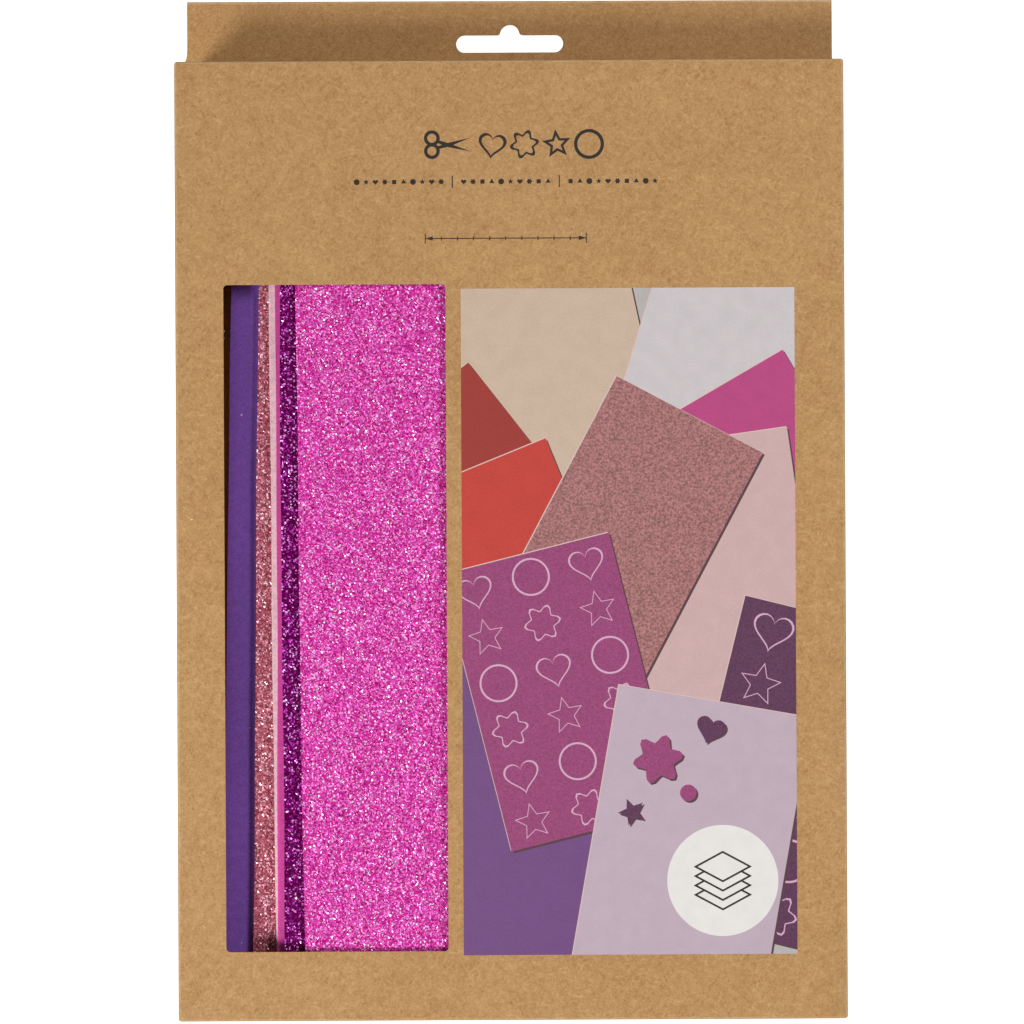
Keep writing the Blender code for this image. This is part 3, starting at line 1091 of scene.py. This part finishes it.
@dataclass
class SheetStack:
    """The twelve sheets, from the back of the carton to its front."""

    coarse: float = 0.00040
    sheet_left: float = -0.070
    margin: float = 0.003

    def sheets(self) -> list[FoamSheet]:
        """Every sheet in its order, with how far across each glitter coat shows."""
        left, coarse = self.sheet_left, self.coarse
        return [
            plain(1, "white", (240, 236, 230)),
            plain(2, "cream", (236, 208, 176)),
            plain(3, "dark_red", (160, 46, 38)),
            plain(4, "red", (204, 56, 46)),
            plain(5, "lilac", (200, 178, 204)),
            coated(6, "coral", (198, 128, 118)),
            plain(7, "purple", (148, 95, 204), lean=0.0014),
            coated(8, "rose", (176, 104, 112), shown_from=left, shown_to=-0.061, flake=coarse),
            plain(9, "pale_pink", (255, 216, 222)),
            plain(10, "pink", (232, 78, 172)),
            coated(11, "violet", (110, 24, 108), shown_from=left, shown_to=-0.062, flake=coarse),
            coated(12, "hot_pink", (216, 60, 160), shown_from=left, shown_to=-0.027),
        ]

    def build(self, carton: Carton) -> None:
        """Make every sheet, each resting on the one before it."""
        _, _, low, high = carton.window
        middle = (carton.bottom + carton.top) / 2
        shown = (low - middle - self.margin, high - middle + self.margin)
        below = None
        for sheet in self.sheets():
            below = sheet.build(below, shown).name


@dataclass
class LooseGlitter:
    """Flakes that came off the glitter sheets: small six-sided plates that lie on what is below them."""

    spots: tuple[tuple[str, float, float, float, float], ...] = (
        ("foam_sheet_purple", -0.0728, 0.0238, 0.0, 0.00028),
        ("foam_sheet_purple", -0.0735, -0.1192, 0.0, 0.00016),
        ("foam_sheet_purple", -0.0709, -0.0610, 0.0, 0.00015),
        (CARTON_NODE, -0.0761, 0.0457, 0.0004, 0.00010),
        (CARTON_NODE, -0.0762, 0.0438, 0.0004, 0.00009),
        (CARTON_NODE, -0.0850, -0.0045, 0.0, 0.00018),
    )
    thickness: float = 0.00003
    lift: float = 0.00001
    corners: int = 6
    seed: int = 5
    slot: str = "hot_pink_glitter_foam"
    # The flakes' near-white colour is a painted glint, standing in for the sparkle of lit flakes.
    tone: FlakeTone = FlakeTone((1.0, 0.94, 0.98), 1.0, 0.0, 0.3, 0.8)

    def build(self, carton: Carton) -> None:
        """Make and dress the flakes: each is a circle of six points, turned by chance, at two heights.

        A spot's last two numbers are how far its flake lies below the top of what is named, and its radius.
        Those on the carton that lie below its front stick to the window's cut edge.
        """
        draw = np.random.default_rng(self.seed)
        count, corners = len(self.spots), self.corners
        floors = [carton.front if node == CARTON_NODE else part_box(node)[1].z for node, *_ in self.spots]
        centres = np.array([
            (x, y, floor - drop + self.lift) for (_, x, y, drop, _), floor in zip(self.spots, floors)
        ])
        angles = np.arange(corners) * 2 * np.pi / corners + draw.uniform(0.0, 1.0, (count, 1))
        sizes = np.array([radius for *_, radius in self.spots])[:, None]
        ring = stacked(sizes * np.cos(angles), sizes * np.sin(angles), 0.0)
        low = centres[:, None, :] + ring
        points = np.stack([low, low + [0.0, 0.0, self.thickness]], axis=1).reshape(-1, 3)
        index = np.arange(len(points)).reshape(count, 2, corners)
        after = np.roll(index, -1, axis=2)
        sides = stacked(index[:, 0], after[:, 0], after[:, 1], index[:, 1]).reshape(-1, 4)
        faces = [index[:, 1], index[:, 0, ::-1], sides]
        mesh = Surface(points, faces).mesh("loose_glitter")
        dress(add_object(mesh, [self.tone.build("Loose glitter")]), self.slot)


def rectangle(centre: Point, size: Point, turn: float = 0.0) -> Array:
    """A rectangle's corners, anticlockwise, turned about its centre by this angle in degrees."""
    corners = np.array([[-0.5, -0.5], [0.5, -0.5], [0.5, 0.5], [-0.5, 0.5]]) * size
    return turned(corners, turn) + np.array(centre)


def turned(points: Array, degrees: float) -> Array:
    """Points turned about the origin, anticlockwise."""
    angle = math.radians(degrees)
    spin = np.array([[math.cos(angle), -math.sin(angle)], [math.sin(angle), math.cos(angle)]])
    return points @ spin.T


class Motif(Enum):
    """Simple shapes that the prints use."""

    DISC = "disc"
    STAR = "star"
    HEART = "heart"
    FLOWER = "flower"
    SQUARE = "square"
    TRIANGLE = "triangle"

    def outline(self, radius: float, centre: Point = (0.0, 0.0), turn: float = 0.0) -> Array:
        """The shape's line, anticlockwise, about a centre.

        A disc is radius times (cos a, sin a), and a flower's radius swells as 1 + 0.22 cos 6a. A star steps
        between two radii. A heart is (16 sin^3 a, 13 cos a - 5 cos 2a - 2 cos 3a - cos 4a) / 17.

        Args:
            radius: Its size from the middle to the furthest point.
            centre: Its middle.
            turn: Its turn anticlockwise, in degrees.

        Returns:
            Its points.
        """
        polygons = {Motif.STAR: (10, 0.5), Motif.SQUARE: (4, 0.25), Motif.TRIANGLE: (3, 0.5)}
        count, start = polygons.get(self, (36, 0.0))
        angle = (np.linspace(0.0, 2.0, count, endpoint=False) + start) * np.pi
        swell = np.ones(count)
        if self is Motif.FLOWER:
            swell = (1 + 0.22 * np.cos(6 * angle)) / 1.22
        if self is Motif.STAR:
            swell = np.where(np.arange(count) % 2 == 0, 1.0, 0.45)
        shape = stacked(swell * np.cos(angle), swell * np.sin(angle))
        if self is Motif.HEART:
            tall = 13 * np.cos(angle) - 5 * np.cos(2 * angle) - 2 * np.cos(3 * angle) - np.cos(4 * angle)
            shape = stacked(-16 * np.sin(angle) ** 3, tall) / 17
        return turned(shape * radius, turn) + np.array(centre)


@dataclass(frozen=True)
class Patch:
    """A flat shape of one ink. A patch without ink leaves the board bare."""

    outline: Array
    ink: str | None


def flat_print(
    name: str, patches: Sequence[Patch], inks: dict[str, InkFinish], height: float, film: float, clip: bool
) -> Piece:
    """A thin printed film: every spot shows the last patch that covers it.

    Args:
        name: The object's name.
        patches: The patches in the order of printing.
        inks: The finish of each ink.
        height: Z of the film's face.
        film: The film's thickness.
        clip: Whether only the area of the first patch is printed.

    Returns:
        The object.
    """
    flat, triangles, inside = filled([patch.outline for patch in patches])
    tops = [max(lines) if lines and (0 in lines or not clip) else -1 for lines in inside]
    used = sorted({patch.ink for patch in patches if patch.ink})
    ink = np.array([used.index(patches[top].ink) if top >= 0 and patches[top].ink else -1 for top in tops])
    mesh = Surface(stacked(*flat.T, height), [triangles[ink >= 0]]).mesh(name)
    mesh.polygons.foreach_set("material_index", ink[ink >= 0].astype(np.int32))
    clean(mesh, False)
    piece = add_object(mesh, [inks[label].build() for label in used])
    add_wall(piece, film)
    return piece


def mixed_inks() -> dict[str, InkFinish]:
    """Every ink of the prints, by its name: its screen colour, its contrast and its grain."""
    rows = (
        ("table", (190, 184, 182), 0.03, 0.0005),
        ("shade", (88, 56, 62), 0.06, 0.0005),
        ("rim", (226, 196, 188), 0.04, 0.0005),
        ("dark red", (163, 52, 42), 0.08, 0.0005),
        ("red", (203, 62, 50), 0.08, 0.0005),
        ("rose glitter", (168, 112, 111), 0.42, 0.00055),
        ("pale pink", (212, 177, 175), 0.04, 0.0005),
        ("pink", (190, 66, 130), 0.06, 0.0005),
        ("magenta glitter", (156, 65, 118), 0.22, 0.0004),
        ("violet glitter", (95, 48, 83), 0.30, 0.0004),
        ("white", (212, 204, 206), 0.03, 0.0005),
        ("cream", (210, 185, 163), 0.04, 0.0005),
        ("lilac", (198, 177, 190), 0.03, 0.0005),
        ("purple", (117, 72, 132), 0.07, 0.0005),
        ("pale line", (222, 176, 202), 0.04, 0.0005),
        ("badge", (240, 236, 232), 0.01, 0.0005),
        ("black", (40, 32, 28), 0.08, 0.0005),
    )
    return {name: InkFinish("Ink " + name, linear(*screen), *grain) for name, screen, *grain in rows}


@dataclass
class PictureSheet:
    """A foam sheet drawn in the printed picture."""

    ink: str
    centre: Point
    size: Point
    turn: float
    motif_ink: str | None = None
    motif_rows: int = 0


@dataclass
class Prints:
    """Everything printed on the front: the picture with its badge, and the marks above it."""

    film: float = 0.00003
    picture_low: Point = (-0.0131, -0.1209)
    picture_size: Point = (0.0889, 0.1776)
    shadow: Point = (0.0005, -0.0005)
    edge: Point = (-0.00022, 0.00022)
    badge_centre: Point = (0.0560, -0.1013)
    badge_radius: float = 0.0148
    leaves: int = 4
    leaf_size: Point = (0.0078, 0.0042)
    leaf_low: float = -0.0038
    leaf_pitch: float = 0.0025
    leaf_inside: float = 0.86
    badge_steps: int = 120
    motif_outside: float = 0.40
    motif_inside: float = 0.36
    title_centre: Point = (-0.0005, 0.0951)
    row_centre: Point = (-0.0009, 0.0852)
    size_centre: Point = (-0.0010, 0.0701)
    size_line: Point = (0.0429, 0.0027)
    group_pitch: float = 0.0285
    group_shapes: int = 10
    shape_pitch: float = 0.0025
    shape_radius: float = 0.00078
    bar_height: float = 0.0032
    mark_line: float = 0.00088
    point_line: float = 1.9
    thin_line: float = 0.00026
    half_ticks: int = 5
    short_tick: float = 0.4
    arrow: Point = (-0.0020, 0.0006)
    scissors_shift: float = -0.0158
    handle_away: float = -0.0046
    handle_radius: float = 0.0021
    handle_turn: float = 22.0
    blade_turn: float = 17.0
    craft_shift: float = -0.0040
    craft_pitch: float = 0.0086
    craft_radius: float = 0.0040
    craft_shapes: tuple[tuple[Motif, float], ...] = (
        (Motif.HEART, -8.0), (Motif.FLOWER, 12.0), (Motif.STAR, 6.0), (Motif.DISC, 0.0),
    )
    inks: dict[str, InkFinish] = field(default_factory=mixed_inks)
    sheets: list[PictureSheet] = field(default_factory=lambda: [
        PictureSheet("cream", (0.018, 0.158), (0.062, 0.100), 12.0),
        PictureSheet("white", (0.074, 0.150), (0.060, 0.104), -17.0),
        PictureSheet("dark red", (0.006, 0.104), (0.060, 0.090), 38.0),
        PictureSheet("red", (0.012, 0.086), (0.058, 0.088), 22.0),
        PictureSheet("pink", (0.084, 0.108), (0.056, 0.090), 30.0),
        PictureSheet("pale pink", (0.066, 0.094), (0.054, 0.086), 8.0),
        PictureSheet("rose glitter", (0.044, 0.112), (0.044, 0.072), -28.0),
        PictureSheet("purple", (0.010, 0.030), (0.066, 0.100), -30.0),
        PictureSheet("violet glitter", (0.092, 0.046), (0.056, 0.088), -14.0, "pale line", 6),
        PictureSheet("magenta glitter", (0.026, 0.070), (0.046, 0.076), 14.0, "pale line", 6),
        PictureSheet("lilac", (0.060, 0.026), (0.052, 0.084), -10.0),
    ])

    def sheet_patches(self, sheet: PictureSheet) -> list[Patch]:
        """A drawn sheet: its shadow, its pale cut edge, its face, and rows of outlined shapes on it."""
        centre = np.array(self.picture_low) + np.array(sheet.centre)
        face = rectangle(tuple(centre), sheet.size, sheet.turn)
        patches = [
            Patch(face + np.array(self.shadow), "shade"),
            Patch(face + np.array(self.edge), "rim"),
            Patch(face, sheet.ink),
        ]
        motifs = [Motif.STAR, Motif.HEART, Motif.FLOWER, Motif.DISC]
        pitch = sheet.size[1] / max(sheet.motif_rows, 1)
        columns = int(sheet.size[0] / pitch)
        for row in range(sheet.motif_rows):
            for column in range(columns):
                away = np.array([
                    (column - (columns - 1) / 2) * sheet.size[0] / columns,
                    (row - (sheet.motif_rows - 1) / 2) * pitch,
                ])
                spot = tuple(centre + turned(away, sheet.turn))
                motif = motifs[(row + 2 * column) % len(motifs)]
                for size, ink in ((self.motif_outside, sheet.motif_ink), (self.motif_inside, sheet.ink)):
                    patches.append(Patch(motif.outline(size * pitch, spot, sheet.turn), ink))
        return patches

    def loose_shapes(self) -> list[Patch]:
        """Cut-out shapes that lie on the lilac sheet, each with its shadow."""
        low = np.array(self.picture_low)
        shapes = [
            (Motif.FLOWER, "magenta glitter", (0.052, 0.052), 0.0068, 10.0),
            (Motif.HEART, "violet glitter", (0.066, 0.060), 0.0042, -18.0),
            (Motif.STAR, "violet glitter", (0.045, 0.038), 0.0038, 22.0),
            (Motif.DISC, "magenta glitter", (0.060, 0.043), 0.0022, 0.0),
        ]
        patches = []
        for motif, ink, spot, radius, turn in shapes:
            outline = motif.outline(radius, tuple(low + spot), turn)
            patches += [Patch(outline + np.array(self.shadow), "shade"), Patch(outline, ink)]
        return patches

    def badge_patches(self) -> list[Patch]:
        """The round badge, with a small drawing of a stack of sheets."""
        centre = np.array(self.badge_centre)
        patches = [Patch(arc(centre, self.badge_radius, 0.0, 360.0, self.badge_steps)[:-1], "badge")]
        leaf = np.array([[-1.0, 0.0], [0.0, -1.0], [1.0, 0.0], [0.0, 1.0]]) * self.leaf_size
        for level in range(self.leaves):
            spot = centre + np.array([0.0, self.leaf_low + self.leaf_pitch * level])
            patches.append(Patch(leaf + spot, "black"))
            patches.append(Patch(leaf * self.leaf_inside + spot, "badge"))
        return patches

    def outlined(self, motif: Motif, radius: float, centre: Point, turn: float = 0.0) -> list[Patch]:
        """A motif drawn as a line of ink, with bare board inside it. At a point the line measures more."""
        inner = radius - self.mark_line * (self.point_line if motif in (Motif.STAR, Motif.TRIANGLE) else 1.0)
        return [
            Patch(motif.outline(radius, centre, turn), "black"),
            Patch(motif.outline(inner, centre, turn), None),
        ]

    def scissors(self, centre: Point) -> list[Patch]:
        """A small pair of open scissors: for each half, a ring as its handle and a slim, pointed blade."""
        blade = np.array([[-2.7, -0.40], [0.3, -0.62], [6.2, 0.0], [0.3, 0.42], [-2.7, 0.40]]) / 1000
        patches = []
        for side in (-1.0, 1.0):
            away = turned(np.array([self.handle_away, 0.0]), side * self.handle_turn)
            patches += self.outlined(Motif.DISC, self.handle_radius, tuple(np.array(centre) + away))
            patches.append(Patch(turned(blade, side * self.blade_turn) + np.array(centre), "black"))
        return patches

    def marks(self, height: float) -> Piece:
        """The marks above the picture: craft shapes, rows of small shapes with bars between, a size line."""
        x, y = self.title_centre
        patches = self.scissors((x + self.scissors_shift, y))
        for order, (motif, turn) in enumerate(self.craft_shapes):
            spot = (x + self.craft_shift + self.craft_pitch * order, y)
            patches += self.outlined(motif, self.craft_radius, spot, turn)
        motifs = list(Motif)
        x, y = self.row_centre
        for group in range(3):
            middle = x + (group - 1) * self.group_pitch
            for order in range(self.group_shapes):
                spot = (middle + (order - (self.group_shapes - 1) / 2) * self.shape_pitch, y)
                motif = motifs[(order + 2 * group) % len(motifs)]
                patches.append(Patch(motif.outline(self.shape_radius, spot), "black"))
            if group:
                bar = (middle - self.group_pitch / 2, y)
                patches.append(Patch(rectangle(bar, (self.thin_line, self.bar_height)), "black"))
        x, y = self.size_centre
        reach, tall = self.size_line[0] / 2, self.size_line[1]
        patches.append(Patch(rectangle((x, y), (2 * reach, self.thin_line)), "black"))
        for step in range(-self.half_ticks, self.half_ticks + 1):
            tick = tall if abs(step) == self.half_ticks else self.short_tick * tall
            spot = (x + step * reach / self.half_ticks, y)
            patches.append(Patch(rectangle(spot, (self.thin_line, tick)), "black"))
        for side in (-1.0, 1.0):
            tip = np.array([(0.0, 0.0), self.arrow, (self.arrow[0], -self.arrow[1])]) * side
            patches.append(Patch(tip + [x + side * reach, y], "black"))
        return flat_print("printed_marks", patches, self.inks, height, self.film, False)

    def picture(self, height: float) -> Piece:
        """The printed picture of a heap of foam sheets, with the badge."""
        centre = tuple(np.array(self.picture_low) + np.array(self.picture_size) / 2)
        patches = [Patch(rectangle(centre, self.picture_size), "table")]
        for sheet in self.sheets:
            patches += self.sheet_patches(sheet)
        patches += self.loose_shapes() + self.badge_patches()
        return flat_print("printed_picture", patches, self.inks, height, self.film, True)

    def build(self, carton: Carton) -> None:
        """Make and dress the prints."""
        for piece in (self.picture(carton.front + self.film), self.marks(carton.front + self.film)):
            dress(piece, KRAFT_SLOT)


@dataclass
class Studio:
    """The floor, the lights and the camera."""

    key_place: tuple[float, float, float] = (-0.533, -0.359, 0.766)
    key_size: float = 0.28
    key_power: float = 5.7
    fill_place: tuple[float, float, float] = (0.523, 0.140, 0.719)
    fill_size: float = 0.30
    fill_power: float = 3.15
    world: float = 0.15
    floor_shade: float = 0.5
    floor_glow: float = 0.95
    floor_reach: float = 30.0
    floor_drop: float = 0.0001
    camera_height: float = 0.784
    camera_offset: Point = (0.00027, 0.00749)
    camera_roll: float = -0.28
    lens: float = 103.46
    sensor: float = 36.0

    def light(self, name: str, place: tuple[float, float, float], size: float, power: float) -> None:
        """A round soft light that faces the middle of the front."""
        lamp = bpy.data.lights.new(name, "AREA")
        lamp.shape = "DISK"
        lamp.size = size
        lamp.energy = power
        made = bpy.data.objects.new(name, lamp)
        made.location = place
        made.rotation_euler = (-Vector(place)).to_track_quat("-Z", "Y").to_euler()
        bpy.context.scene.collection.objects.link(made)

    def floor(self) -> None:
        """A plain white floor."""
        graph = NodeGraph("Studio floor")
        graph.colour((self.floor_shade,) * 3)
        graph.shader.inputs["Emission Color"].default_value = (1.0, 1.0, 1.0, 1.0)
        graph.set(Roughness=0.9, Emission_Strength=self.floor_glow)
        reach = np.array([-self.floor_reach, self.floor_reach])
        x, y = np.meshgrid(reach, reach)
        surface = Surface(stacked(x, y, -self.floor_drop).reshape(-1, 3), [grid_quads(2, 2)])
        add_object(surface.mesh("studio_floor"), [graph.material])

    def surroundings(self) -> None:
        """An even, soft light from all round."""
        world = bpy.data.worlds.new("Studio")
        world.use_nodes = True
        world.node_tree.nodes["Background"].inputs["Color"].default_value = (1.0, 1.0, 1.0, 1.0)
        world.node_tree.nodes["Background"].inputs["Strength"].default_value = self.world
        bpy.context.scene.world = world

    def camera(self, carton: Carton) -> None:
        """A camera that looks straight down on the pack's front."""
        roll = math.radians(self.camera_roll)
        across, along = self.camera_offset
        middle = (carton.bottom + carton.top) / 2
        lens = bpy.data.cameras.new("Camera")
        lens.lens = self.lens
        lens.sensor_width = self.sensor
        made = bpy.data.objects.new("Camera", lens)
        made.location = (
            across * math.cos(roll) - along * math.sin(roll),
            middle + across * math.sin(roll) + along * math.cos(roll),
            CAD_BOX[1][2] + self.camera_height,
        )
        made.rotation_euler = (0.0, 0.0, roll)
        bpy.context.scene.collection.objects.link(made)
        bpy.context.scene.camera = made

    def build(self, carton: Carton) -> None:
        """Set the studio up, with colours shown as they are, without a film look."""
        bpy.context.scene.view_settings.view_transform = "Standard"
        self.camera(carton)
        self.floor()
        self.surroundings()
        self.light("Key light", self.key_place, self.key_size, self.key_power)
        self.light("Fill light", self.fill_place, self.fill_size, self.fill_power)


def main() -> None:
    """Build the whole scene."""
    logging.basicConfig(level=logging.INFO, format="%(name)s: %(message)s")
    carton = Carton()
    Studio().build(carton)
    carton.build()
    SheetStack().build(carton)
    LooseGlitter().build(carton)
    Prints().build(carton)


if __name__ == "__main__":
    main()
